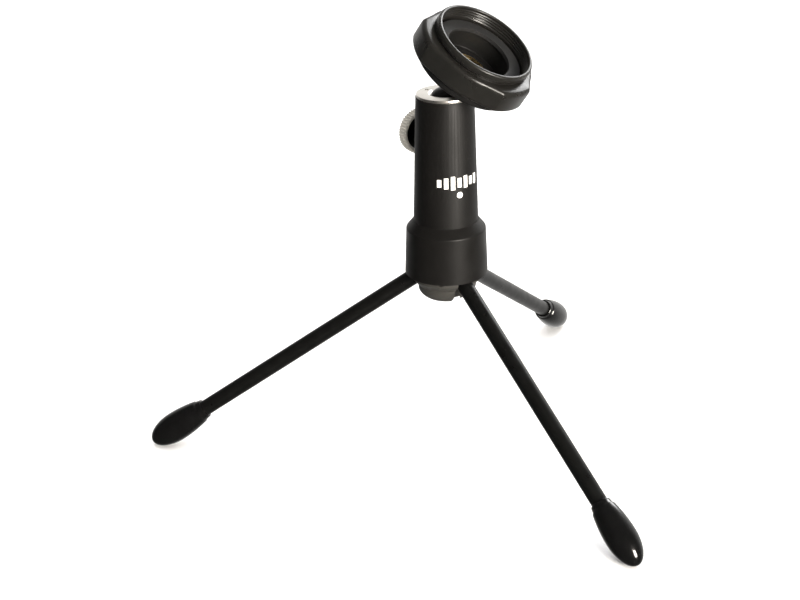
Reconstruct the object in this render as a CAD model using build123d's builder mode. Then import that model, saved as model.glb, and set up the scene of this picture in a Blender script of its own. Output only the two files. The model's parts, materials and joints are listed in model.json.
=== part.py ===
from build123d import *
import os
from math import acos, cos, degrees, hypot, radians, sin, sqrt, tan

# Folding desktop microphone stand: three rod legs on a hub, a tapered column, a ball
# joint locked by a side knob, and a holder with a lobed ring nut. Millimetres, +Z up.
# The origin is on the desk under the column's axis. The front leg points along -Y
# and the knob along +Y.

# legs
leg_incline = 32.7
leg_radius = 2.75
leg_reach = 91.0
leg_azimuths = {"front": -90.0, "right": 30.0, "left": 150.0}
leg_in_foot = 13.0

# feet
foot_radius = 5.2
foot_back = 12.6
foot_nose = 10.2
foot_neck_wall = 0.6
foot_shoulder_radius = 4.05
foot_shoulder_length = 2.2

# leg hub and its pivots
pivot_radius = 8.6
pin_radius = 0.9
pin_bite = 2.4
eye_margin = 0.15
slot_gap = 0.25
slot_end_gap = 0.4
hub_disc_margin = 0.08
hub_lobe_radius = 10.2
hub_floor_radius = 4.8
hub_depth = 8.9
hub_rim_drop = 1.5
hub_web = 3.6
hub_core_margin = 0.3
hub_core_rise = 0.9

# hub bolt and washer
bolt_radius = 2.0
bolt_head_radius = 3.5
bolt_head_height = 3.0
bolt_engagement = 10.0
bolt_socket_radius = 1.7
bolt_socket_depth = 1.6
bolt_recess = 0.5
washer_radius = 3.9
washer_thickness = 0.8

# collar
collar_foot_wall = 2.1
collar_top_wall = 1.5
collar_height = 18.8
collar_shoulder = 3.0
collar_edge_rise = 0.4
collar_corner_round = 0.9

# column
column_exposed = 42.5
column_foot_radius = 10.86
column_top_radius = 9.64
flange_thickness = 2.5
chamber_drill_angle = 30.0

# ball joint
ball_radius = 5.5
ball_keep = 0.65
shank_radius = 2.2
lip_land = 0.2
mouth_chamfer = 0.6
ring_flange_setback = 0.24
ring_flange_thickness = 1.0
ring_skirt_wall = 1.95
ring_skirt_depth = 6.0
spanner_margin = 1.55
spanner_radius = 0.65
spanner_depth = 0.6
spanner_azimuth = 114.0
seat_step = 0.95
seat_body_height = 6.3
seat_point_radius = 2.5

# clamp screw and knob
screw_radius = 2.5
screw_tip_radius = 0.3
screw_rise = 0.5
screw_cavity = 0.5
knob_radius = 7.75
knob_thickness = 3.8
knob_standoff = 3.1
knob_boss_radius = 4.2
knob_boss_length = 1.5
knob_cap = 0.8
knob_dish_radius = 6.1
knob_dish_depth = 0.8
knob_teeth = 40
knob_tooth_depth = 0.45

# pose of the holder
head_tilt = 34.4
head_lean = -64.5

# ball stud and holder base, along the tilted axis from the ball's centre
stud_radius = 4.76
stud_start = 8.7
stud_flare = 1.0
stud_tip_gap = 0.6
stud_tip_chamfer = 0.5
insert_wall = 1.4
insert_start = 9.8
insert_length = 6.4
base_nose_wall = 0.8
base_rim_width = 3.8
base_rim_start = 14.4
base_rim_height = 2.1
base_floor = 15.0
base_boss_wall = 2.0
neck_inset = 1.4
neck_wall = 2.6
neck_land = 0.6

# snap ring and gasket on the neck
clip_groove_depth = 0.8
clip_thickness = 0.8
clip_overhang = 0.8
clip_play = 0.3
clip_open_angle = 40.0
gasket_thickness = 1.2
gasket_overhang = 0.6

# lobed ring nut
nut_lobes = 3
nut_bore_radius = 15.6
nut_waist_wall = 3.2
nut_lobe_rise = 2.0
nut_height = 7.6
nut_lobe_azimuth = 346.0
nut_lobe_span = 36.0
nut_flank_span = 19.0
nut_corner_round = 1.8
nut_top_round = 1.4
nut_foot_round = 0.6
nut_shelf = 3.2
nut_collar_wall = 1.4
nut_collar_height = 3.2
nut_groove_depth = 0.7
nut_groove_height = 0.9
nut_relief_depth = 0.3
nut_mouth_chamfer = 0.5

# clearances
running_gap = 0.06
socket_gap = 0.05
thread_gap = 0.05
press_gap = 0.02
stack_gap = 0.05
leg_stop_gap = 0.15
collar_gap = 0.1
nut_gap = 0.15

# hub heights, measured up from the feet
incline_sin = sin(radians(leg_incline))
incline_cos = cos(radians(leg_incline))
foot_centre = leg_reach + foot_back
foot_drop = hypot(foot_nose * incline_sin, foot_radius * incline_cos)
pivot_height = foot_centre * incline_sin + foot_drop
eye_radius = leg_radius + eye_margin
slot_half_width = leg_radius + slot_gap
slot_roof = pivot_height + eye_radius + slot_end_gap
slot_end = pivot_radius - eye_radius - slot_end_gap
pin_half_length = slot_half_width + pin_bite
hub_disc_radius = hypot(pivot_radius + eye_radius, leg_radius) + hub_disc_margin
hub_top = slot_roof + hub_web
hub_bottom = pivot_height - hub_depth
hub_rim_bottom = pivot_height - hub_rim_drop
hub_core_radius = slot_end + hub_core_margin
hub_core_bottom = hub_bottom + hub_core_rise
hub_round = hub_lobe_radius - hub_floor_radius
washer_bottom = hub_core_bottom + bolt_recess + bolt_head_height
recess_roof = washer_bottom + washer_thickness

# collar and column heights
collar_bottom = pivot_height + collar_edge_rise
collar_top = collar_bottom + collar_height
column_bottom = hub_top
column_top = collar_top + column_exposed
flange_top = column_bottom + flange_thickness
flange_radius = hub_disc_radius - collar_gap
collar_foot_radius = hub_disc_radius + collar_foot_wall
collar_top_radius = hub_disc_radius + collar_top_wall

# ball joint, from the ring's top face down
socket_radius = ball_radius + socket_gap
lip_radius = ball_radius - ball_keep
lip_rise = sqrt(socket_radius ** 2 - lip_radius ** 2)
ring_top = column_top + ring_flange_thickness
ring_flange_radius = column_top_radius - ring_flange_setback
spanner_circle = lip_radius + mouth_chamfer + spanner_margin
ring_skirt_radius = socket_radius + ring_skirt_wall
skirt_bottom = column_top - ring_skirt_depth
ball_height = ring_top - mouth_chamfer - lip_land - lip_rise
seat_radius = socket_radius + seat_step
seat_rim = skirt_bottom - stack_gap
seat_cup_radius = sqrt(socket_radius ** 2 - (ball_height - seat_rim) ** 2)
seat_shoulder = seat_rim - seat_body_height
seat_bottom = seat_shoulder - (seat_radius - seat_point_radius)
screw_height = seat_bottom + screw_rise
screw_tip = seat_point_radius + screw_rise + running_gap
chamber_floor = screw_height - screw_radius - screw_cavity

# holder and nut radii, worked outward and inward from the microphone's thread
neck_radius = nut_bore_radius - neck_inset
neck_bore_radius = neck_radius - neck_wall
clip_radius = neck_radius + clip_overhang
base_rim_radius = neck_radius + base_rim_width
nut_collar_radius = nut_bore_radius + nut_collar_wall
nut_waist_radius = nut_bore_radius + nut_waist_wall
nut_lobe_radius = nut_waist_radius + nut_lobe_rise

# holder heights, along the tilted axis from the ball's centre
insert_radius = stud_radius + insert_wall
insert_top = insert_start + insert_length
neck_start = base_rim_start + base_rim_height
nut_bottom = neck_start + nut_gap
shelf_top = nut_bottom + nut_shelf
clip_start = shelf_top + clip_play
neck_top = clip_start + clip_thickness + neck_land
gasket_top = neck_top + gasket_thickness
nut_top = nut_bottom + nut_height
nut_mouth = nut_top + nut_collar_height

# work planes: along a piece, local y is its own axis; across it, local z is
tilt_sin = sin(radians(head_tilt))
tilt_cos = cos(radians(head_tilt))
lean_x = cos(radians(head_lean))
lean_y = sin(radians(head_lean))
upright = Plane.XZ
head_across = Plane(
    origin=(0, 0, ball_height),
    x_dir=(lean_x * tilt_cos, lean_y * tilt_cos, -tilt_sin),
    z_dir=(lean_x * tilt_sin, lean_y * tilt_sin, tilt_cos),
)
head_along = Plane(
    origin=head_across.origin,
    x_dir=head_across.x_dir,
    z_dir=head_across.x_dir.cross(head_across.z_dir),
)
head_axis = Axis(head_across.origin, head_across.z_dir)
knob_across = Plane(origin=(0, 0, screw_height), x_dir=(0, 0, 1), z_dir=(0, 1, 0))
knob_along = Plane(origin=(0, 0, screw_height), x_dir=(0, 0, 1), z_dir=(-1, 0, 0))
knob_axis = Axis((0, 0, screw_height), (0, 1, 0))


def leg_plane(azimuth):
    # local x runs down the leg from its pivot and local z lies along the pivot pin
    outward = Vector(cos(radians(azimuth)), sin(radians(azimuth)), 0)
    along = outward * incline_cos - Vector(0, 0, incline_sin)
    return Plane(
        origin=outward * pivot_radius + Vector(0, 0, pivot_height),
        x_dir=along,
        z_dir=(outward.Y, -outward.X, 0),
    )


def radial_plane(azimuth):
    # upright through the column's axis; local x runs outward and local y up
    outward = Vector(cos(radians(azimuth)), sin(radians(azimuth)), 0)
    return Plane(origin=(0, 0, 0), x_dir=outward, z_dir=(outward.Y, -outward.X, 0))


def column_radius_at(height):
    # outer radius of the taper above the collar
    share = (height - collar_top) / column_exposed
    return column_foot_radius + (column_top_radius - column_foot_radius) * share


# column: tapered tube with a solid flanged foot, a stepped bore for the retaining
# ring and the ball seat, a threaded cross hole for the clamp and one for the bolt
skirt_bore = ring_skirt_radius + thread_gap
seat_bore = seat_radius + running_gap
with BuildPart() as column:
    with BuildSketch(upright):
        Polygon(
            (0, column_bottom),
            (flange_radius, column_bottom),
            (flange_radius, flange_top),
            (column_foot_radius, flange_top),
            (column_foot_radius, collar_top),
            (column_top_radius, column_top),
            (skirt_bore, column_top),
            (skirt_bore, seat_rim),
            (seat_bore, seat_rim),
            (seat_bore, chamber_floor),
            (0, chamber_floor - seat_bore * tan(radians(chamber_drill_angle))),
            align=None,
        )
    revolve(axis=Axis.Z)
    with BuildSketch(knob_across):
        Circle(screw_radius + thread_gap)
    extrude(amount=column_foot_radius + 1, mode=Mode.SUBTRACT)
    with BuildSketch(Plane.XY.offset(column_bottom)):
        Circle(bolt_radius + thread_gap)
    extrude(amount=bolt_engagement + stack_gap, mode=Mode.SUBTRACT)
column.part.label = "column"

# retaining ring: flange on a threaded skirt, with a lip that keeps the ball in and
# two shallow holes for a pin spanner
with BuildPart() as retaining_ring:
    with BuildSketch(upright):
        with BuildLine():
            socket = CenterArc((0, ball_height), socket_radius, 0, degrees(acos(lip_radius / socket_radius)))
            Polyline(
                socket @ 1,
                (lip_radius, ring_top - mouth_chamfer),
                (lip_radius + mouth_chamfer, ring_top),
                (ring_flange_radius, ring_top),
                (ring_flange_radius, column_top),
                (ring_skirt_radius, column_top),
                (ring_skirt_radius, skirt_bottom),
                (socket_radius, skirt_bottom),
                socket @ 0,
            )
        make_face()
    revolve(axis=Axis.Z)
    with BuildSketch(Plane.XY.offset(ring_top)):
        with PolarLocations(spanner_circle, 2, start_angle=spanner_azimuth):
            Circle(spanner_radius)
    extrude(amount=-spanner_depth, mode=Mode.SUBTRACT)
retaining_ring.part.label = "retaining_ring"

# ball seat: cup under the ball with a conical foot that the clamp screw wedges up
with BuildPart() as ball_seat:
    with BuildSketch(upright):
        with BuildLine():
            cup_angle = degrees(acos(seat_cup_radius / socket_radius))
            cup = CenterArc((0, ball_height), socket_radius, -90, 90 - cup_angle)
            Polyline(
                cup @ 1,
                (seat_radius, seat_rim),
                (seat_radius, seat_shoulder),
                (seat_point_radius, seat_bottom),
                (0, seat_bottom),
                cup @ 0,
            )
        make_face()
    revolve(axis=Axis.Z)
ball_seat.part.label = "ball_seat"

# clamp screw: threaded rod along +Y whose cone tip bears on the seat's cone
screw_end = column_radius_at(screw_height) + knob_standoff + knob_thickness - knob_cap
with BuildPart() as clamp_screw:
    with BuildSketch(knob_along):
        Polygon(
            (0, screw_tip),
            (screw_tip_radius, screw_tip + screw_tip_radius),
            (screw_radius, screw_tip + screw_radius),
            (screw_radius, screw_end),
            (0, screw_end),
            align=None,
        )
    revolve(axis=knob_axis)
clamp_screw.part.label = "clamp_screw"

# clamp knob: serrated wheel with a dished inner face and a short boss
knob_face = column_radius_at(screw_height) + knob_standoff
knob_back = knob_face + knob_thickness
with BuildPart() as clamp_knob:
    with BuildSketch(knob_across.offset(knob_face)):
        Circle(knob_radius)
        with PolarLocations(knob_radius, knob_teeth):
            Rectangle(knob_tooth_depth * 2, knob_tooth_depth * 2, rotation=45, mode=Mode.SUBTRACT)
    extrude(amount=knob_thickness)
    with BuildSketch(knob_across.offset(knob_face)):
        Circle(knob_dish_radius)
    extrude(amount=knob_dish_depth, mode=Mode.SUBTRACT)
    with BuildSketch(knob_across.offset(knob_face - knob_boss_length)):
        Circle(knob_boss_radius)
    extrude(amount=knob_boss_length + knob_dish_depth)
    with BuildSketch(knob_across.offset(knob_face - knob_boss_length)):
        Circle(screw_radius + running_gap)
    extrude(amount=screw_end + stack_gap - knob_face + knob_boss_length, mode=Mode.SUBTRACT)
clamp_knob.part.label = "clamp_knob"

# collar: sleeve that stands on the column's flange, hides the pivots and stops the
# opened legs in three shallow notches
with BuildPart() as collar:
    with BuildSketch(upright):
        Polygon(
            (hub_disc_radius + collar_gap, collar_bottom),
            (collar_foot_radius, collar_bottom),
            (collar_top_radius, collar_top - collar_shoulder),
            (column_foot_radius + collar_gap, collar_top),
            (column_foot_radius + collar_gap, flange_top + stack_gap),
            (hub_disc_radius + collar_gap, flange_top + stack_gap),
            align=None,
        )
    revolve(axis=Axis.Z)
    corner = collar.edges().filter_by(GeomType.CIRCLE).group_by(SortBy.RADIUS)[-2]
    fillet(corner, collar_corner_round)
    for azimuth in leg_azimuths.values():
        with BuildSketch(Plane(leg_plane(azimuth).origin, z_dir=leg_plane(azimuth).x_dir)):
            Circle(leg_radius + leg_stop_gap)
        extrude(amount=2 * collar_foot_radius, mode=Mode.SUBTRACT)
collar.part.label = "collar"

# leg hub: disc inside the collar over three rounded lobes, with a slot for each leg,
# a cross hole for each pivot pin and a recess for the bolt underneath
with BuildPart() as leg_hub:
    with BuildSketch(upright):
        with BuildLine():
            bowl = CenterArc((hub_floor_radius, hub_bottom + hub_round), hub_round, -90, 90)
            Polyline(
                bowl @ 1,
                (hub_disc_radius, hub_rim_bottom),
                (hub_disc_radius, hub_top),
                (0, hub_top),
                (0, hub_bottom),
                bowl @ 0,
            )
        make_face()
    revolve(axis=Axis.Z)
    for azimuth in leg_azimuths.values():
        with BuildSketch(radial_plane(azimuth)):
            Polygon(
                (slot_end, hub_bottom - 1),
                (hub_disc_radius + 1, hub_bottom - 1),
                (hub_disc_radius + 1, slot_roof),
                (slot_end, slot_roof),
                align=None,
            )
        extrude(amount=slot_half_width, both=True, mode=Mode.SUBTRACT)
        with BuildSketch(leg_plane(azimuth).offset(-pin_half_length - stack_gap)):
            Circle(pin_radius + press_gap)
        extrude(amount=pin_half_length + stack_gap + hub_disc_radius, mode=Mode.SUBTRACT)
    with BuildSketch(Plane.XY.offset(hub_bottom)):
        Circle(hub_core_radius)
    extrude(amount=hub_core_rise, mode=Mode.SUBTRACT)
    with BuildSketch(Plane.XY.offset(hub_core_bottom)):
        Circle(washer_radius + thread_gap)
    extrude(amount=recess_roof - hub_core_bottom, mode=Mode.SUBTRACT)
    with BuildSketch(Plane.XY.offset(recess_roof)):
        Circle(bolt_radius + thread_gap)
    extrude(amount=hub_top - recess_roof, mode=Mode.SUBTRACT)
leg_hub.part.label = "leg_hub"

# hub bolt: socket-head screw up through the hub into the column's foot
with BuildPart() as hub_bolt:
    with BuildSketch(Plane.XY.offset(washer_bottom)):
        Circle(bolt_head_radius)
    extrude(amount=-bolt_head_height)
    with BuildSketch(Plane.XY.offset(washer_bottom - bolt_head_height)):
        RegularPolygon(bolt_socket_radius, 6)
    extrude(amount=bolt_socket_depth, mode=Mode.SUBTRACT)
    with BuildSketch(Plane.XY.offset(washer_bottom)):
        Circle(bolt_radius)
    extrude(amount=column_bottom + bolt_engagement - washer_bottom)
hub_bolt.part.label = "hub_bolt"

# hub washer, between the bolt's head and the hub
with BuildPart() as hub_washer:
    with BuildSketch(Plane.XY.offset(washer_bottom)):
        Circle(washer_radius)
        Circle(bolt_radius + thread_gap, mode=Mode.SUBTRACT)
    extrude(amount=washer_thickness)
hub_washer.part.label = "hub_washer"


def make_pin(azimuth):
    # pivot pin, pressed into the hub across a leg slot
    with BuildPart() as pivot_pin:
        with BuildSketch(leg_plane(azimuth)):
            Circle(pin_radius)
        extrude(amount=pin_half_length, both=True)
    return pivot_pin.part


def make_leg(azimuth):
    # straight rod with a rounded eye that turns on the pivot pin
    plane = leg_plane(azimuth)
    with BuildPart() as leg:
        with BuildSketch(Plane(plane.origin, z_dir=plane.x_dir)):
            Circle(leg_radius)
        extrude(amount=leg_reach + leg_in_foot)
        with BuildSketch(plane):
            Circle(eye_radius)
        extrude(amount=leg_radius, both=True)
        with BuildSketch(plane):
            Circle(pin_radius + running_gap)
        extrude(amount=leg_radius, both=True, mode=Mode.SUBTRACT)
    return leg.part


def make_foot(azimuth):
    # moulded olive-shaped foot pushed over the rod's end
    plane = leg_plane(azimuth)
    rear_radius = (foot_back - foot_shoulder_length) ** 2 / (2 * (foot_radius - foot_shoulder_radius))
    bulge_drop = (foot_back - foot_shoulder_length) ** 2 / 4 / (2 * rear_radius)
    bulge_x = leg_reach + (foot_back + foot_shoulder_length) / 2
    bore = leg_radius + press_gap
    bore_end = leg_reach + leg_in_foot + stack_gap
    with BuildPart() as foot:
        with BuildSketch(plane):
            with BuildLine():
                nose = EllipticalCenterArc((foot_centre, 0), foot_nose, foot_radius, 0, arc_size=90)
                back = ThreePointArc(
                    nose @ 1,
                    (bulge_x, foot_radius - bulge_drop),
                    (leg_reach + foot_shoulder_length, foot_shoulder_radius),
                )
                Polyline(
                    back @ 1,
                    (leg_reach, leg_radius + foot_neck_wall),
                    (leg_reach, bore),
                    (bore_end, bore),
                    (bore_end, 0),
                    nose @ 0,
                )
            make_face()
        revolve(axis=Axis(plane.origin, plane.x_dir))
    return foot.part


leg_pieces = []
for leg_name, leg_azimuth in leg_azimuths.items():
    for piece_name, make in (("pivot_pin", make_pin), ("leg", make_leg), ("foot", make_foot)):
        piece = make(leg_azimuth)
        piece.label = f"{piece_name}_{leg_name}"
        leg_pieces.append(piece)

# ball stud: ball, slim shank and a threaded end that flares out under the holder
stud_end = insert_top - stud_tip_gap
shank_start = sqrt(ball_radius ** 2 - shank_radius ** 2)
with BuildPart() as ball_stud:
    with BuildSketch(head_along):
        with BuildLine():
            ball_arc = CenterArc((0, 0), ball_radius, -90, 90 + degrees(acos(shank_radius / ball_radius)))
            Polyline(
                ball_arc @ 1,
                (shank_radius, stud_start - stud_flare),
                (stud_radius, stud_start),
                (stud_radius, stud_end - stud_tip_chamfer),
                (stud_radius - stud_tip_chamfer, stud_end),
                (0, stud_end),
                ball_arc @ 0,
            )
        make_face()
    revolve(axis=head_axis)
ball_stud.part.label = "ball_stud"

# thread insert: plain sleeve moulded into the holder for the stud's thread
with BuildPart() as thread_insert:
    with BuildSketch(head_across.offset(insert_start)):
        Circle(insert_radius)
        Circle(stud_radius + thread_gap, mode=Mode.SUBTRACT)
    extrude(amount=insert_length)
thread_insert.part.label = "thread_insert"

# holder base: shallow cone with a rim that carries the nut, and a grooved neck
insert_bore = insert_radius + press_gap
boss_radius = insert_bore + base_boss_wall
groove_radius = neck_radius - clip_groove_depth
groove_bottom = clip_start - stack_gap
groove_top = clip_start + clip_thickness + stack_gap
with BuildPart() as holder_base:
    with BuildSketch(head_along):
        Polygon(
            (insert_bore, insert_start),
            (insert_bore + base_nose_wall, insert_start),
            (base_rim_radius, base_rim_start),
            (base_rim_radius, neck_start),
            (neck_radius, neck_start),
            (neck_radius, groove_bottom),
            (groove_radius, groove_bottom),
            (groove_radius, groove_top),
            (neck_radius, groove_top),
            (neck_radius, neck_top),
            (neck_bore_radius, neck_top),
            (neck_bore_radius, base_floor),
            (boss_radius, base_floor),
            (boss_radius, insert_top),
            (insert_bore, insert_top),
            align=None,
        )
    revolve(axis=head_axis)
holder_base.part.label = "holder_base"

# snap ring: open spring ring in the neck's groove that keeps the nut on
with BuildPart() as snap_ring:
    with BuildSketch(head_along):
        Polygon(
            (groove_radius + stack_gap, clip_start),
            (clip_radius, clip_start),
            (clip_radius, clip_start + clip_thickness),
            (groove_radius + stack_gap, clip_start + clip_thickness),
            align=None,
        )
    revolve(axis=head_axis, revolution_arc=360 - clip_open_angle)
snap_ring.part.label = "snap_ring"

# grip gasket: flat rubber ring on the neck that the microphone's foot presses on
with BuildPart() as grip_gasket:
    with BuildSketch(head_across.offset(neck_top)):
        Circle(neck_radius + gasket_overhang)
        Circle(neck_bore_radius - gasket_overhang, mode=Mode.SUBTRACT)
    extrude(amount=gasket_thickness)
grip_gasket.part.label = "grip_gasket"

# lobed ring nut: turns on the holder's neck and screws onto the microphone's foot
lobe_pitch = 360 / nut_lobes
with BuildPart() as ring_nut:
    with BuildSketch(head_across.offset(nut_bottom)):
        with BuildLine():
            lobe_start = nut_lobe_azimuth - nut_lobe_span / 2
            first = CenterArc((0, 0), nut_lobe_radius, lobe_start, nut_lobe_span)
            end = first @ 1
            for lobe in range(1, nut_lobes + 1):
                waist_start = lobe_start + (lobe - 1) * lobe_pitch + nut_lobe_span + nut_flank_span
                waist_span = lobe_pitch - nut_lobe_span - 2 * nut_flank_span
                waist = CenterArc((0, 0), nut_waist_radius, waist_start, waist_span)
                Line(end, waist @ 0)
                if lobe < nut_lobes:
                    lobe_arc = CenterArc((0, 0), nut_lobe_radius, lobe_start + lobe * lobe_pitch, nut_lobe_span)
                    Line(waist @ 1, lobe_arc @ 0)
                    end = lobe_arc @ 1
            Line(waist @ 1, first @ 0)
        make_face()
    extrude(amount=nut_height)
    fillet(ring_nut.edges().filter_by(head_axis), nut_corner_round)
    fillet(ring_nut.faces().sort_by(head_axis)[-1].outer_wire().edges(), nut_top_round)
    fillet(ring_nut.faces().sort_by(head_axis)[0].outer_wire().edges(), nut_foot_round)
    with BuildSketch(head_along):
        Polygon(
            (0, nut_top),
            (nut_collar_radius - nut_groove_depth, nut_top),
            (nut_collar_radius - nut_groove_depth, nut_top + nut_groove_height),
            (nut_collar_radius, nut_top + nut_groove_height),
            (nut_collar_radius, nut_mouth - nut_mouth_chamfer),
            (nut_collar_radius - nut_mouth_chamfer, nut_mouth),
            (0, nut_mouth),
            align=None,
        )
    revolve(axis=head_axis)
    with BuildSketch(head_along):
        Polygon(
            (0, nut_bottom),
            (neck_radius + collar_gap, nut_bottom),
            (neck_radius + collar_gap, shelf_top),
            (nut_bore_radius + nut_relief_depth, shelf_top),
            (nut_bore_radius + nut_relief_depth, gasket_top + stack_gap),
            (nut_bore_radius, gasket_top + stack_gap),
            (nut_bore_radius, nut_mouth - nut_mouth_chamfer),
            (nut_bore_radius + nut_mouth_chamfer, nut_mouth),
            (0, nut_mouth),
            align=None,
        )
    revolve(axis=head_axis, mode=Mode.SUBTRACT)
ring_nut.part.label = "ring_nut"

os.makedirs("parts", exist_ok=True)
single_pieces = [
    column.part,
    retaining_ring.part,
    ball_seat.part,
    clamp_screw.part,
    clamp_knob.part,
    collar.part,
    leg_hub.part,
    hub_bolt.part,
    hub_washer.part,
    ball_stud.part,
    thread_insert.part,
    holder_base.part,
    snap_ring.part,
    grip_gasket.part,
    ring_nut.part,
]
for piece in single_pieces + leg_pieces:
    export_step(piece, f"parts/{piece.label}.step")
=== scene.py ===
import bpy
import bmesh
import json
import math
from mathutils import Matrix, Vector


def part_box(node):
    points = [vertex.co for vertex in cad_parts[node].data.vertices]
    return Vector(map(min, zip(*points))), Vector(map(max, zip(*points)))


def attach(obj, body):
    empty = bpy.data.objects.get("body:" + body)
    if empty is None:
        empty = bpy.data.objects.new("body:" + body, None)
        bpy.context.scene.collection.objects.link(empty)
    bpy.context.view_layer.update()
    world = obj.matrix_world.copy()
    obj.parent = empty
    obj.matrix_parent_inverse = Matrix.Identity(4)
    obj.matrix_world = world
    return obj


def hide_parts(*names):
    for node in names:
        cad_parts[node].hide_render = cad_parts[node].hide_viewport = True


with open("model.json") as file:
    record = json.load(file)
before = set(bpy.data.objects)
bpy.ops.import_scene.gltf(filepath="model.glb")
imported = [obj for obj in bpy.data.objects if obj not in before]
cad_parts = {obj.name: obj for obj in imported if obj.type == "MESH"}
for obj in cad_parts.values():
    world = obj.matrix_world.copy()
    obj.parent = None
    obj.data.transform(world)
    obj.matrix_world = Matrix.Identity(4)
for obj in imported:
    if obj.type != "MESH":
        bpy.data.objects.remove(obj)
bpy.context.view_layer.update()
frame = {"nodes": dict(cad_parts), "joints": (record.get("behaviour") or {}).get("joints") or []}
nodes = frame["nodes"]
joints = {joint["name"]: joint for joint in frame["joints"]}
mm = 0.001
fullTurn = 2 * math.pi

ballCentre = Vector(joints["head_tilt"]["pos_m"])
headAxis = Vector(joints["ring_nut_turn"]["axis"]).normalized()
leanAxis = Vector(joints["head_tilt"]["axis"]).normalized()
headSide = leanAxis.cross(headAxis).normalized()  # the holder's low side, square to its axis
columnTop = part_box("column")[1].z / mm
screwHeight = joints["knob_turn"]["pos_m"][2]
legNames = ("front", "left", "right")


def axisFrame(origin, alongAxis, xHint):
    # local z runs along the axis, and local x points as near to xHint as it can
    z = Vector(alongAxis).normalized()
    x = (Vector(xHint) - z * Vector(xHint).dot(z)).normalized()
    y = z.cross(x)
    turn = Matrix((x, y, z)).transposed().to_4x4()
    return Matrix.Translation(Vector(origin)) @ turn


headPlace = axisFrame(ballCentre, headAxis, headSide)
knobPlace = axisFrame((0, 0, screwHeight), (0, 1, 0), (0, 0, 1))


def legPlace(legName):
    # local z runs down the leg from its pivot, and local x points up
    fold = joints[legName + "_leg_fold"]
    pin = Vector(fold["axis"]).normalized()
    pivot = Vector(fold["pos_m"])
    outward = pin.cross(Vector((0, 0, 1)))
    incline = math.radians(90 - fold["range_deg"][1])
    along = outward * math.cos(incline) - Vector((0, 0, math.sin(incline)))
    return axisFrame(pivot, along, (0, 0, 1))


def lathe(name, profile, place, turns=128, closed=True):
    # turns a profile of (radius, height) pairs in millimetres about local z
    mesh = bmesh.new()
    rings = []
    for radius, height in profile:
        ring = []
        for step in range(turns):
            angle = fullTurn * step / turns
            spot = (radius * mm * math.cos(angle), radius * mm * math.sin(angle), height * mm)
            ring.append(mesh.verts.new(spot))
        rings.append(ring)
    pairs = list(zip(rings, rings[1:]))
    if closed:
        pairs.append((rings[-1], rings[0]))
    for below, above in pairs:
        for step in range(turns):
            after = (step + 1) % turns
            mesh.faces.new((below[step], below[after], above[after], above[step]))
    bmesh.ops.remove_doubles(mesh, verts=mesh.verts, dist=1e-7)
    return finishMesh(name, mesh, place)


def finishMesh(name, mesh, place=Matrix.Identity(4)):
    bmesh.ops.recalc_face_normals(mesh, faces=mesh.faces)
    data = bpy.data.meshes.new(name)
    mesh.to_mesh(data)
    mesh.free()
    data.transform(place)
    piece = bpy.data.objects.new(name, data)
    bpy.context.scene.collection.objects.link(piece)
    smoothByAngle(piece)
    return piece


def smoothByAngle(piece, limit=math.radians(32)):
    data = piece.data
    data.shade_smooth()
    mesh = bmesh.new()
    mesh.from_mesh(data)
    for edge in mesh.edges:
        if len(edge.link_faces) == 2:
            edge.smooth = edge.calc_face_angle(0) < limit
    mesh.to_mesh(data)
    mesh.free()


def rounded(points, radius, steps=5):
    # rounds each corner of a closed outline of (radius, height) pairs
    outline = []
    count = len(points)
    for index, point in enumerate(points):
        corner = Vector(point[:2])
        cornerRadius = point[2] if len(point) > 2 else radius
        before = Vector(points[index - 1][:2]) - corner
        after = Vector(points[(index + 1) % count][:2]) - corner
        turn = before.angle(after)
        reach = cornerRadius / math.tan(turn / 2) if turn > 1e-3 else 0
        reach = min(reach, before.length * 0.45, after.length * 0.45)
        if reach < 1e-4 or turn > math.radians(178):
            outline.append(tuple(corner))
            continue
        start = corner + before.normalized() * reach
        end = corner + after.normalized() * reach
        for step in range(steps + 1):
            share = step / steps
            inner = start.lerp(corner, share)
            outer = corner.lerp(end, share)
            outline.append(tuple(inner.lerp(outer, share)))
    return outline


def softened(nodeName, width):
    # a copy of a CAD node with its sharp edges rounded
    source = nodes[nodeName]
    mesh = bmesh.new()
    mesh.from_mesh(source.data)
    bmesh.ops.remove_doubles(mesh, verts=mesh.verts, dist=1e-6)
    bmesh.ops.dissolve_limit(mesh, angle_limit=math.radians(0.5), verts=mesh.verts, edges=mesh.edges)
    piece = finishMesh(nodeName + "_body", mesh)
    bevel = piece.modifiers.new("edges", "BEVEL")
    bevel.width = width * mm
    bevel.segments = 3
    bevel.limit_method = "ANGLE"
    bevel.angle_limit = math.radians(40)
    bevel.harden_normals = False
    bpy.context.view_layer.objects.active = piece
    piece.select_set(True)
    bpy.ops.object.modifier_apply(modifier="edges")
    piece.select_set(False)
    smoothByAngle(piece)
    return piece


def localReach(nodeName, place):
    # lowest and highest point along a place's local z and the widest radius round it, in millimetres
    inward = place.inverted()
    points = [inward @ vertex.co for vertex in nodes[nodeName].data.vertices]
    heights = [point.z for point in points]
    radii = [point.xy.length for point in points]
    return min(heights) / mm, max(heights) / mm, max(radii) / mm


def turned(name, place, turns, outline):
    # closes a loop of (radius, height) pairs round local z, where the loop may change with the angle
    mesh = bmesh.new()
    loops = []
    for step in range(turns):
        angle = fullTurn * step / turns
        side = (math.cos(angle) * mm, math.sin(angle) * mm)
        loops.append([mesh.verts.new((radius * side[0], radius * side[1], height * mm))
                      for radius, height in outline(math.degrees(angle))])
    for loop, nextLoop in zip(loops, loops[1:] + loops[:1]):
        for index in range(len(loop)):
            after = (index + 1) % len(loop)
            mesh.faces.new((loop[index], nextLoop[index], nextLoop[after], loop[after]))
    return finishMesh(name, mesh, place)


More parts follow.
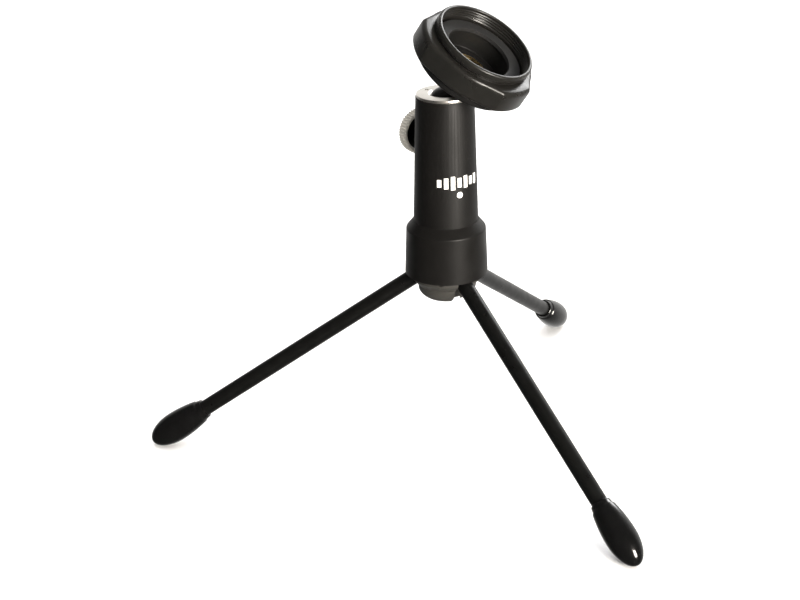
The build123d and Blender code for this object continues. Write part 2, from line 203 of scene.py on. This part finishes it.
def fitOut(piece, body, slotName, material, *replaced):
    # gives a new piece its material and its body, and hides the CAD nodes it stands for
    piece.data.materials.clear()
    piece.data.materials.append(material)
    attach(piece, body)
    if replaced:
        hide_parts(*replaced)
    return piece


def paintNode(nodeName, material):
    for holder in nodes[nodeName].material_slots:
        holder.material = material


def newMaterial(name, colour, roughness, metallic=0.0, specular=0.5):
    material = bpy.data.materials.new(name)
    material.use_nodes = True
    tree = material.node_tree
    shader = tree.nodes["Principled BSDF"]
    shader.inputs["Base Color"].default_value = (*colour, 1)
    shader.inputs["Roughness"].default_value = roughness
    shader.inputs["Metallic"].default_value = metallic
    shader.inputs["Specular IOR Level"].default_value = specular
    return material, tree, shader


def link(tree, source, output, target, socket):
    tree.links.new(source.outputs[output], target.inputs[socket])


def coordinates(tree, scale):
    where = tree.nodes.new("ShaderNodeTexCoord")
    mapping = tree.nodes.new("ShaderNodeMapping")
    mapping.inputs["Scale"].default_value = scale
    link(tree, where, "Object", mapping, "Vector")
    return mapping


def noise(tree, scale, detail=3.0, distortion=0.0):
    mapping = coordinates(tree, scale)
    texture = tree.nodes.new("ShaderNodeTexNoise")
    texture.inputs["Scale"].default_value = 1.0
    texture.inputs["Detail"].default_value = detail
    texture.inputs["Distortion"].default_value = distortion
    link(tree, mapping, "Vector", texture, "Vector")
    return texture


def spread(tree, source, output, low, high):
    # maps a 0 to 1 value onto the range low to high
    ramp = tree.nodes.new("ShaderNodeMapRange")
    ramp.inputs["From Min"].default_value = 0.3
    ramp.inputs["From Max"].default_value = 0.7
    ramp.inputs["To Min"].default_value = low
    ramp.inputs["To Max"].default_value = high
    link(tree, source, output, ramp, "Value")
    return ramp


def bump(tree, source, output, strength, distance, shader, previous=None):
    relief = tree.nodes.new("ShaderNodeBump")
    relief.inputs["Strength"].default_value = strength
    relief.inputs["Distance"].default_value = distance * mm
    link(tree, source, output, relief, "Height")
    if previous is not None:
        link(tree, previous, "Normal", relief, "Normal")
    link(tree, relief, "Normal", shader, "Normal")
    return relief


def blendColour(tree, factor, output, dark, light, shader):
    mix = tree.nodes.new("ShaderNodeMix")
    mix.data_type = "RGBA"
    mix.inputs["A"].default_value = (*dark, 1)
    mix.inputs["B"].default_value = (*light, 1)
    link(tree, factor, output, mix, "Factor")
    tree.links.new(mix.outputs["Result"], shader.inputs["Base Color"])
    return mix


def edgeMask(tree, radius, low, high):
    # 1 on sharp edges and 0 on open faces, from how far a rounded normal leans away
    rounder = tree.nodes.new("ShaderNodeBevel")
    rounder.samples = 6
    rounder.inputs["Radius"].default_value = radius * mm
    face = tree.nodes.new("ShaderNodeNewGeometry")
    product = tree.nodes.new("ShaderNodeVectorMath")
    product.operation = "DOT_PRODUCT"
    link(tree, rounder, "Normal", product, 0)
    link(tree, face, "Normal", product, 1)
    mask = tree.nodes.new("ShaderNodeMapRange")
    mask.inputs["From Min"].default_value = high
    mask.inputs["From Max"].default_value = low
    mask.inputs["To Min"].default_value = 0
    mask.inputs["To Max"].default_value = 1
    link(tree, product, "Value", mask, "Value")
    return mask


def cloudyRoughness(tree, texture, shader, values):
    # the roughness drifts a little either side of its value
    glossy, dull = values["roughness"] - values["glossier"], values["roughness"] + values["duller"]
    rough = spread(tree, texture, "Fac", glossy, dull)
    link(tree, rough, "Result", shader, "Roughness")


def satinMetal(name, values):
    # dyed anodised metal: turned grain round the axis, cloudy roughness, pale worn edges
    material, tree, shader = newMaterial(name, values["colour"], values["roughness"], 0, values["specular"])
    around = values["grainRoundPerMetre"]
    grain = noise(tree, (around, around, values["grainPerMetre"]), 4)
    cloud = noise(tree, values["cloudPerMetre"], 4)
    cloudyRoughness(tree, cloud, shader, values)
    bump(tree, grain, "Fac", values["grain"], values["grainDepth"], shader)
    wear = edgeMask(tree, values["wearWidth"], values["wearLow"], values["wearHigh"])
    worn = tree.nodes.new("ShaderNodeMath")
    worn.operation = "MULTIPLY"
    link(tree, wear, "Result", worn, 0)
    patch = spread(tree, cloud, "Fac", 0.0, values["wear"])
    link(tree, patch, "Result", worn, 1)
    blendColour(tree, worn, "Value", values["colour"], values["wornColour"], shader)
    return material


def mouldedPlastic(name, values):
    # moulded plastic: fine eroded texture, slow gloss changes, edges polished by handling
    material, tree, shader = newMaterial(name, values["colour"], values["roughness"], 0, values["specular"])
    pits = noise(tree, (values["pitsPerMetre"],) * 3, 3)
    cloud = noise(tree, values["cloudPerMetre"], 4)
    cloudyRoughness(tree, cloud, shader, values)
    bump(tree, pits, "Fac", values["pits"], values["pitDepth"], shader)
    wear = edgeMask(tree, values["wearWidth"], values["wearLow"], values["wearHigh"])
    scaled = tree.nodes.new("ShaderNodeMath")
    scaled.operation = "MULTIPLY"
    scaled.inputs[1].default_value = values["edge"]
    link(tree, wear, "Result", scaled, 0)
    blendColour(tree, scaled, "Value", values["colour"], values["edgeColour"], shader)
    return material


def turnedMetal(name, values):
    # bare machined metal: tool rings round the axis and small scratches
    material, tree, shader = newMaterial(name, values["colour"], values["roughness"], values["metallic"])
    where = coordinates(tree, (1, 1, values["flatten"]))
    lines = tree.nodes.new("ShaderNodeTexWave")
    lines.wave_type = "RINGS"
    lines.rings_direction = "Z"
    lines.inputs["Scale"].default_value = values["ringsPerMetre"]
    lines.inputs["Distortion"].default_value = values["chatter"]
    lines.inputs["Detail"].default_value = 2
    lines.inputs["Detail Scale"].default_value = 40
    link(tree, where, "Vector", lines, "Vector")
    scratches = noise(tree, values["scratchesPerMetre"], 5, 0.4)
    cloudyRoughness(tree, scratches, shader, values)
    first = bump(tree, lines, "Fac", values["rings"], values["toolDepth"], shader)
    bump(tree, scratches, "Fac", values["scratches"], values["toolDepth"], shader, first)
    dulled = [channel * values["dulled"] for channel in values["colour"]]
    blendColour(tree, scratches, "Fac", dulled, values["colour"], shader)
    return material


def glossPaint(name, values):
    # sprayed or moulded gloss black: faint orange peel, dust-fine roughness changes, clear top
    material, tree, shader = newMaterial(name, values["colour"], values["roughness"], 0, values["specular"])
    peel = noise(tree, (values["peelPerMetre"],) * 3, 2)
    cloud = noise(tree, values["cloudPerMetre"], 4)
    cloudyRoughness(tree, cloud, shader, values)
    bump(tree, peel, "Fac", values["peel"], values["peelDepth"], shader)
    shader.inputs["Coat Weight"].default_value = values["coat"]
    shader.inputs["Coat Roughness"].default_value = values["coatRoughness"]
    darker = [channel * values["darker"] for channel in values["colour"]]
    paler = [channel * values["paler"] for channel in values["colour"]]
    blendColour(tree, cloud, "Fac", darker, paler, shader)
    return material


print("finishes")
satinValues = {"grainRoundPerMetre": 300, "grainPerMetre": 9000, "grain": 0.10, "grainDepth": 0.02,
               "cloudPerMetre": (90, 90, 60), "glossier": 0.05, "duller": 0.06, "wear": 0.3,
               "wearWidth": 0.3, "wearLow": 0.80, "wearHigh": 0.97, "wornColour": (0.06, 0.055, 0.05)}
mouldValues = {"pitDepth": 0.03, "cloudPerMetre": (140, 140, 140), "glossier": 0.05, "duller": 0.07,
               "wearWidth": 0.25, "wearLow": 0.80, "wearHigh": 0.98}
paintValues = {"peelDepth": 0.03, "cloudPerMetre": (260, 260, 260), "glossier": 0.03, "duller": 0.07,
               "darker": 0.75, "paler": 1.3}
latheValues = {"flatten": 0, "chatter": 1.5, "toolDepth": 0.02, "scratchesPerMetre": (900, 900, 1400),
               "scratches": 0.05, "glossier": 0.07, "duller": 0.1, "dulled": 0.86}

columnValues = {**satinValues, "colour": (0.0042, 0.0038, 0.0034), "roughness": 0.5, "specular": 0.22}
stemValues = {**satinValues, "colour": (0.006, 0.006, 0.006), "roughness": 0.3, "specular": 0.3}
collarValues = {**mouldValues, "colour": (0.0048, 0.0044, 0.004), "roughness": 0.42, "specular": 0.16,
                "pits": 0.12, "pitsPerMetre": 5200, "edge": 0.5, "edgeColour": (0.014, 0.013, 0.012)}
hubValues = {**mouldValues, "colour": (0.03, 0.0285, 0.025), "roughness": 0.55, "specular": 0.25,
             "pits": 0.2, "pitsPerMetre": 4200, "edge": 0.4, "edgeColour": (0.045, 0.044, 0.04)}
holderValues = {**mouldValues, "colour": (0.006, 0.0058, 0.0054), "roughness": 0.45, "specular": 0.2,
                "pits": 0.14, "pitsPerMetre": 5000, "edge": 0.4, "edgeColour": (0.018, 0.018, 0.018)}
nutValues = {**mouldValues, "colour": (0.009, 0.0085, 0.0075), "roughness": 0.3, "specular": 0.3,
             "pits": 0.06, "pitsPerMetre": 4500, "edge": 0.5, "edgeColour": (0.03, 0.029, 0.028)}
legValues = {**paintValues, "colour": (0.003, 0.003, 0.0028), "roughness": 0.3, "specular": 0.22,
             "peelPerMetre": 1500, "peel": 0.06, "coat": 0.0, "coatRoughness": 0.2}
footValues = {**paintValues, "colour": (0.003, 0.003, 0.003), "roughness": 0.16, "specular": 0.3,
              "peelPerMetre": 900, "peel": 0.04, "coat": 0.2, "coatRoughness": 0.08}
ringValues = {**latheValues, "colour": (0.93, 0.9, 0.84), "roughness": 0.34, "metallic": 1,
              "ringsPerMetre": 3200, "rings": 0.25}
steelValues = {**latheValues, "colour": (0.5, 0.49, 0.47), "roughness": 0.28, "metallic": 1,
               "ringsPerMetre": 2500, "rings": 0.15}

anodised = satinMetal("anodisedBlack", columnValues)
blackedSteel = satinMetal("blackedSteel", stemValues)
collarPlastic = mouldedPlastic("collarPlastic", collarValues)
hubPlastic = mouldedPlastic("hubPlastic", hubValues)
holderPlastic = mouldedPlastic("holderPlastic", holderValues)
nutPlastic = mouldedPlastic("nutPlastic", nutValues)
legPaint = glossPaint("legPaint", legValues)
footGloss = glossPaint("footGloss", footValues)
brightRing = turnedMetal("brightRing", ringValues)
platedSteel = turnedMetal("platedSteel", steelValues)
brassMetal = turnedMetal("brassMetal", {**steelValues, "colour": (0.72, 0.53, 0.25)})
printInk = mouldedPlastic("printInk", {**hubValues, "colour": (0.82, 0.8, 0.76), "roughness": 0.5,
                                        "edgeColour": (0.7, 0.68, 0.64)})
darkSteel = turnedMetal("darkSteel", {**steelValues, "colour": (0.06, 0.06, 0.062), "roughness": 0.4})
knobRim = turnedMetal("knobRim", {**ringValues, "colour": (0.56, 0.53, 0.47), "roughness": 0.42,
                                  "metallic": 0.35})
knobFace = turnedMetal("knobFace", {**ringValues, "colour": (0.05, 0.05, 0.045), "roughness": 0.42})
nylon = mouldedPlastic("nylon", {**hubValues, "colour": (0.55, 0.52, 0.45), "edgeColour": (0.6, 0.57, 0.5)})
gasketRubber = mouldedPlastic("gasketRubber", {**hubValues, "colour": (0.014, 0.014, 0.014),
                                              "roughness": 0.7})

for nodeName, finish in (
    ("column", anodised), ("retaining_ring", brightRing), ("holder_base", holderPlastic),
    ("collar", collarPlastic), ("leg_hub", hubPlastic), ("hub_bolt", darkSteel), ("hub_washer", platedSteel),
    ("ball_seat", nylon), ("ball_stud", blackedSteel), ("thread_insert", brassMetal),
    ("snap_ring", darkSteel), ("grip_gasket", gasketRubber), ("clamp_screw", platedSteel),
    ("ring_nut", nutPlastic), ("clamp_knob", knobRim),
):
    paintNode(nodeName, finish)
for legName in legNames:
    paintNode("pivot_pin_" + legName, platedSteel)
    paintNode("leg_" + legName, legPaint)
    paintNode("foot_" + legName, footGloss)


def easeStep(share):
    share = min(1, max(0, share))
    return share * share * (3 - 2 * share)


def quarterRound(radius, height, size, side, rise, steps=4):
    # a rounded corner at (radius, height): side is +1 outward or -1 inward, rise is +1 at a top edge
    points = []
    for step in range(steps + 1):
        angle = math.pi / 2 * step / steps
        inset = size * (1 - math.cos(angle))
        drop = size * (1 - math.sin(angle))
        points.append((radius - side * inset, height - rise * drop))
    return points


def makeNut(values):
    low, high, widest = localReach("ring_nut", headPlace)
    rim = low + values["skirt"]
    bore = values["bore"]
    collar = bore + values["collarWall"]
    waist = widest - values["lobeRise"]
    pitch = values["threadPitch"]
    threadTop = high - values["mouthChamfer"]
    threadLow = threadTop - values["threadLength"]
    threadSteps = int(values["threadLength"] / pitch * values["threadDivisions"])

    lobeEnd = math.radians(values["lobeSpan"] / 2)
    waistStart = math.radians(values["lobeSpan"] / 2 + values["flankSpan"])
    flankIn = Vector((widest * math.cos(lobeEnd), widest * math.sin(lobeEnd)))
    flankOut = Vector((waist * math.cos(waistStart), waist * math.sin(waistStart)))
    flankRun = flankOut - flankIn

    def sharpRadius(angle):
        # arc on a lobe, arc on the waist and a straight flank between them
        spacing = 360 / values["lobes"]
        away = math.radians(abs((angle - values["lobeAzimuth"] + spacing / 2) % spacing - spacing / 2))
        if away <= lobeEnd:
            return widest
        if away >= waistStart:
            return waist
        ray = Vector((math.cos(away), math.sin(away)))
        return (flankIn.x * flankRun.y - flankIn.y * flankRun.x) / (ray.x * flankRun.y - ray.y * flankRun.x)

    def lobeRadius(angle):
        # corners are rounded by averaging over a few degrees
        shifts = [values["cornerBlend"] * quarter / 4 for quarter in range(-4, 5)]
        return sum(sharpRadius(angle + shift) for shift in shifts) / len(shifts)

    def threadRadius(angle, height):
        phase = (height / pitch - angle / 360) % 1
        ridge = min(1, max(0, abs(2 * phase - 1) * values["threadSlope"] - values["threadFlat"]))
        fade = min(1, (threadTop - height) / pitch, (height - threadLow) / pitch)
        return bore + values["threadDepth"] * ridge * max(0, fade)

    def outline(angle):
        outer = lobeRadius(angle)
        foot, top = values["footRound"], values["topRound"]
        groove = collar - values["groove"]
        loop = [(values["neck"], low), (outer - values["footWidth"], low)]
        loop += reversed(quarterRound(outer, low, foot, 1, -1))
        loop += [(outer, low + values["skirt"] * share) for share in (0.2, 0.4, 0.6, 0.75)]
        loop += quarterRound(outer, rim, top, 1, 1)
        loop += [(collar + values["ledge"], rim), (collar + values["ledgeEdge"], rim)]
        loop += [(groove, rim - values["grooveDip"]), (groove, rim + values["grooveHeight"])]
        loop += reversed(quarterRound(collar, rim + values["grooveHeight"], values["grooveRound"], 1, -1))
        loop += quarterRound(collar, high, values["mouthRound"], 1, 1)
        loop += reversed(quarterRound(bore, high, values["mouthChamfer"], -1, 1))
        for step in range(1, threadSteps):
            height = threadTop - values["threadLength"] * step / threadSteps
            loop.append((threadRadius(angle, height), height))
        loop += [(bore, threadLow), (bore + values["relief"], threadLow - values["reliefSlope"])]
        loop += [(bore + values["relief"], low + values["shelf"]), (values["neck"], low + values["shelf"])]
        return loop

    piece = turned("lobed_ring_nut", headPlace, values["turns"], outline)
    print("ring nut", round(waist, 2), round(widest, 2))
    return fitOut(piece, "nut", "nut_black", nutPlastic, "ring_nut")


def makeKnob(values):
    low, high, widest = localReach("clamp_knob", knobPlace)
    face = low + values["boss"]
    tooth = values["toothDepth"]

    def rimOutline(angle):
        wave = abs((angle * values["teeth"] / 360) % 1 * 2 - 1)
        outer = widest - tooth * min(1, wave * values["toothSteep"])
        edge = values["edge"]
        lip = values["faceRadius"] + values["lip"]
        crown = widest - tooth - values["crown"]
        shoulder = outer - values["shoulder"]
        loop = [(values["faceRadius"], face + edge), (lip, face), (crown, face)]
        loop += [(shoulder, face + values["shoulderAt"]), (outer, face + values["teethAt"])]
        loop += [(outer, high - values["teethAt"]), (shoulder, high - values["shoulderAt"])]
        loop += [(crown, high), (lip, high), (values["faceRadius"], high - edge)]
        return loop

    rim = turned("knob_rim", knobPlace, values["teeth"] * values["stepsPerTooth"], rimOutline)
    fitOut(rim, "knob", "knob_metal", knobRim, "clamp_knob")
    dish = face + values["dish"]
    web = values["faceRadius"] - values["webGap"]
    webBack = high - values["webRecess"]
    crown = high - values["crownRecess"]
    profile = [(0, high - values["capInside"], 0), (values["bore"], high - values["boreEnd"]),
               (values["bore"], low), (values["bossRadius"], low), (values["bossRadius"], dish),
               (web - values["webFoot"], dish), (web, dish - values["webRise"]), (web, webBack),
               (web - values["webFlat"], webBack), (values["crownShare"] * web, crown), (0, crown, 0)]
    outline = rounded(profile, values["webRound"], 3)
    centre = lathe("knob_centre", outline, knobPlace, closed=False)
    fitOut(centre, "knob", "knob_metal", knobFace)


def makeFoot(legName, values):
    place = legPlace(legName)
    start, tip, widest = localReach("foot_" + legName, place)
    centre = tip - values["nose"]
    shoulder = start + values["shoulderLength"]
    neck, shoulderRadius = values["neck"], values["shoulderRadius"]
    bore, lip = values["bore"], values["lip"]
    profile = [(0, start + values["socket"]), (bore, start + values["socket"]), (bore, start),
               (neck - values["lipInset"], start), (neck, start + lip)]
    for step in range(1, values["flareSteps"]):
        share = step / values["flareSteps"]
        flare = easeStep(share * values["flareShare"] + values["flareStart"])
        height = start + lip + (values["shoulderLength"] - lip) * share
        profile.append((neck + (shoulderRadius - neck) * flare, height))
    for step in range(values["backSteps"] + 1):
        share = 1 - step / values["backSteps"]
        radius = widest - (widest - shoulderRadius) * share ** 2
        profile.append((radius, centre - (centre - shoulder) * share))
    for step in range(1, values["noseSteps"]):
        angle = math.pi / 2 * step / values["noseSteps"]
        profile.append((widest * math.cos(angle), centre + values["nose"] * math.sin(angle)))
    profile.append((0, tip))
    foot = lathe("moulded_foot_" + legName, profile, place, values["turns"], closed=False)
    return fitOut(foot, legName + "_leg", "foot_black", footGloss, "foot_" + legName)


def makePrint(values):
    # a plain row of level bars and a dot, printed just proud of the column's skin
    low = columnTop - values["drop"]

    def skin(height):
        return values["topRadius"] + (columnTop - height) * values["taper"] + values["proud"]

    mesh = bmesh.new()

    def patch(rows):
        # a thin shell patch: rows of (angle, height) pairs, each the same length
        layers = []
        for lift in (0, values["thickness"]):
            grid = []
            for row in rows:
                line = []
                for angle, height in row:
                    radius = (skin(height) + lift) * mm
                    turn = math.radians(angle)
                    spot = (radius * math.cos(turn), radius * math.sin(turn), height * mm)
                    line.append(mesh.verts.new(spot))
                grid.append(line)
            layers.append(grid)
        inner, outer = layers
        for grid, flip in ((inner, True), (outer, False)):
            for upper, lower in zip(grid, grid[1:]):
                for index in range(len(upper) - 1):
                    corners = [upper[index], upper[index + 1], lower[index + 1], lower[index]]
                    mesh.faces.new(corners[::-1] if flip else corners)
        border = [(0, index) for index in range(len(rows[0]))]
        border += [(row, len(rows[0]) - 1) for row in range(1, len(rows))]
        border += [(len(rows) - 1, index) for index in range(len(rows[0]) - 2, -1, -1)]
        border += [(row, 0) for row in range(len(rows) - 2, 0, -1)]
        for (row, index), (nextRow, nextIndex) in zip(border, border[1:] + border[:1]):
            mesh.faces.new((inner[row][index], inner[nextRow][nextIndex],
                            outer[nextRow][nextIndex], outer[row][index]))

    count = len(values["bars"])
    pitch = values["span"] / count
    width = pitch * values["barShare"]
    for bar, share in enumerate(values["bars"]):
        middle = values["azimuth"] + (bar - (count - 1) / 2) * pitch
        half = values["barHeight"] * share / 2
        rows = []
        for height in (low + half, low, low - half):
            rows.append([(middle - width / 2 + width * step / 4, height) for step in range(5)])
        patch(rows)
    dotHeight = low - values["dotDrop"]
    degreesPerMm = 360 / (fullTurn * skin(dotHeight))
    rows = []
    for step in range(9):
        rise = math.cos(math.pi * (step + 0.5) / 9)
        reach = math.sqrt(1 - rise * rise) * values["dotRadius"] * degreesPerMm
        height = dotHeight + rise * values["dotRadius"]
        rows.append([(values["azimuth"] + reach * side, height) for side in (-1, -0.6, -0.2, 0.2, 0.6, 1)])
    patch(rows)
    piece = finishMesh("column_print", mesh)
    return fitOut(piece, "stand", "seat_nylon", printInk)


print("pieces")
makeNut({"lobes": 3, "lobeAzimuth": 346, "lobeSpan": 36, "flankSpan": 19, "cornerBlend": 1.4, "lobeRise": 2,
         "skirt": 7.6, "topRound": 1.3, "footRound": 0.6, "neck": 14.3, "bore": 15.6, "collarWall": 1.4,
         "footWidth": 3, "ledge": 0.4, "ledgeEdge": 0.1, "groove": 0.7, "grooveHeight": 0.9,
         "grooveDip": 0.05, "grooveRound": 0.25, "mouthChamfer": 0.5, "mouthRound": 0.74,
         "threadLength": 4.1, "threadPitch": 0.9, "threadDepth": 0.3, "threadSlope": 1.7, "threadFlat": 0.35,
         "threadDivisions": 8, "relief": 0.3, "reliefSlope": 0.15, "shelf": 3.2, "turns": 480})
makeKnob({"boss": 1.5, "toothDepth": 0.4, "toothSteep": 1.35, "teeth": 48, "stepsPerTooth": 8,
          "faceRadius": 6.1, "edge": 0.35, "lip": 0.25, "crown": 0.35, "shoulder": 0.12, "shoulderAt": 0.3,
          "teethAt": 0.55, "dish": 0.8, "bore": 2.56, "boreEnd": 0.6, "bossRadius": 4.2, "webGap": 0.01,
          "webFoot": 0.6, "webRise": 0.3, "webRecess": 0.45, "webFlat": 0.8, "webRound": 0.12,
          "crownShare": 0.6, "crownRecess": 0.15, "capInside": 0.4})
footShape = {"nose": 10.2, "shoulderLength": 2.2, "shoulderRadius": 4.05, "neck": 3.35, "lip": 0.12,
             "lipInset": 0.15, "flareShare": 0.5, "flareStart": 0.1, "bore": 2.77, "socket": 13.05,
             "flareSteps": 9, "backSteps": 16, "noseSteps": 24, "turns": 96}
for legName in legNames:
    makeFoot(legName, footShape)
makePrint({"drop": 26.65, "topRadius": 9.64, "taper": 0.0287, "proud": 0.015, "thickness": 0.03,
           "azimuth": -97.6, "span": 88, "bars": (0.55, 0.8, 1, 0.7, 0.9, 0.6, 0.75), "barShare": 0.62,
           "barHeight": 4.6, "dotDrop": 4.25, "dotRadius": 1.05})
edgeRounds = {"column": 0.2, "leg_hub": 0.6, "retaining_ring": 0.12, "holder_base": 0.25}
for nodeName, body, slotName, finish in (
    ("column", "stand", "anodised_black", anodised), ("leg_hub", "stand", "hub_grey", hubPlastic),
    ("retaining_ring", "stand", "bright_ring", brightRing),
    ("holder_base", "head", "holder_black", holderPlastic),
):
    fitOut(softened(nodeName, edgeRounds[nodeName]), body, slotName, finish, nodeName)


def areaLight(name, place, target, width, height, power, colour=(1, 1, 1)):
    data = bpy.data.lights.new(name, "AREA")
    data.shape = "RECTANGLE"
    data.size = width
    data.size_y = height
    data.energy = power
    data.color = colour
    lamp = bpy.data.objects.new(name, data)
    lamp.location = place
    lamp.rotation_euler = (Vector(target) - Vector(place)).to_track_quat("-Z", "Y").to_euler()
    bpy.context.scene.collection.objects.link(lamp)
    return lamp


def makeFloor(values):
    # a pale floor that sweeps up into a wall all round, like a paper backdrop
    mesh = bmesh.new()
    inner = values["flatRadius"]
    sweep = values["sweepRadius"]
    profile = [(inner * share, 0) for share in (values["centre"], 0.1, 0.3, 0.6, 1)]
    for step in range(1, values["sweepSteps"] + 1):
        angle = math.pi / 2 * step / values["sweepSteps"]
        profile.append((inner + sweep * math.sin(angle), sweep * (1 - math.cos(angle))))
    profile.append((inner + sweep, values["wallHeight"]))
    rings = []
    for radius, height in profile:
        ring = []
        for step in range(values["turns"]):
            angle = fullTurn * step / values["turns"]
            ring.append(mesh.verts.new((radius * math.cos(angle), radius * math.sin(angle), height)))
        rings.append(ring)
    for lower, upper in zip(rings, rings[1:]):
        for step in range(values["turns"]):
            after = (step + 1) % values["turns"]
            mesh.faces.new((lower[step], lower[after], upper[after], upper[step]))
    floor = finishMesh("floor", mesh)
    material, tree, shader = newMaterial("paleFloor", values["colour"], 0.9, 0, 0.1)
    fibres = noise(tree, values["fibresPerMetre"], 5)
    shaded = [channel * values["shaded"] for channel in values["colour"]]
    blendColour(tree, fibres, "Fac", shaded, values["colour"], shader)
    bump(tree, fibres, "Fac", values["fibres"], values["fibreDepth"], shader)
    floor.data.materials.append(material)
    floor.visible_glossy = False
    return floor


def makeCamera(values):
    data = bpy.data.cameras.new("camera")
    data.lens = values["lens"]
    data.sensor_width = 36
    data.sensor_fit = "HORIZONTAL"
    data.clip_start = 0.01
    camera = bpy.data.objects.new("camera", data)
    heading = Matrix.Rotation(-math.radians(values["heading"]), 4, "Z")
    pitch = Matrix.Rotation(math.radians(90 - values["pitch"]), 4, "X")
    roll = Matrix.Rotation(math.radians(values["roll"]), 4, "Z")
    camera.matrix_world = Matrix.Translation(Vector(values["place"])) @ heading @ pitch @ roll
    bpy.context.scene.collection.objects.link(camera)
    bpy.context.scene.camera = camera
    return camera


def makeWorld(values):
    # soft room light that is brighter on the right and behind than on the left and in front
    world = bpy.data.worlds.new("studio")
    bpy.context.scene.world = world
    world.use_nodes = True
    tree = world.node_tree
    background = tree.nodes["Background"]
    background.inputs["Color"].default_value = (*values["colour"], 1)
    where = tree.nodes.new("ShaderNodeTexCoord")
    facing = tree.nodes.new("ShaderNodeVectorMath")
    facing.operation = "DOT_PRODUCT"
    heading, rise = math.radians(values["azimuth"]), math.radians(values["elevation"])
    facing.inputs[1].default_value = (math.cos(heading) * math.cos(rise), math.sin(heading) * math.cos(rise),
                                      math.sin(rise))
    link(tree, where, "Generated", facing, 0)
    fall = tree.nodes.new("ShaderNodeMapRange")
    fall.interpolation_type = "SMOOTHSTEP"
    fall.inputs["From Min"].default_value = values["darkFrom"]
    fall.inputs["From Max"].default_value = values["brightFrom"]
    fall.inputs["To Min"].default_value = values["dark"]
    fall.inputs["To Max"].default_value = values["bright"]
    link(tree, facing, "Value", fall, "Value")
    link(tree, fall, "Result", background, "Strength")


print("stage")
makeFloor({"flatRadius": 2.2, "sweepRadius": 0.8, "wallHeight": 2.6, "centre": 0.0001, "sweepSteps": 12,
           "turns": 96, "colour": (0.9, 0.9, 0.9), "shaded": 0.985, "fibresPerMetre": (60, 60, 60),
           "fibres": 0.02, "fibreDepth": 0.2})
makeCamera({"place": (-0.2824, -0.4243, 0.2803), "heading": 31.845, "pitch": 24.10, "roll": -1.28,
            "lens": 73.28})
makeWorld({"azimuth": 42, "elevation": -8, "darkFrom": 0.1, "brightFrom": 0.95, "dark": 0.05, "bright": 1.1,
           "colour": (1, 0.985, 0.96)})
overhead = areaLight("overhead", (0.1, 0.1, 1.7), (0, 0, 0), 3.0, 3.0, 62)
overhead.visible_glossy = False
areaLight("keyPanel", (0.04, -0.95, 0.22), (0, 0, 0.09), 0.3, 0.42, 24, (1, 0.94, 0.86))
areaLight("rimPanel", (0.9, 0.35, 0.62), (0, 0, 0.1), 0.35, 0.5, 7)

view = bpy.context.scene.view_settings
view.view_transform = "Standard"
view.look = "None"
view.exposure = 0.0
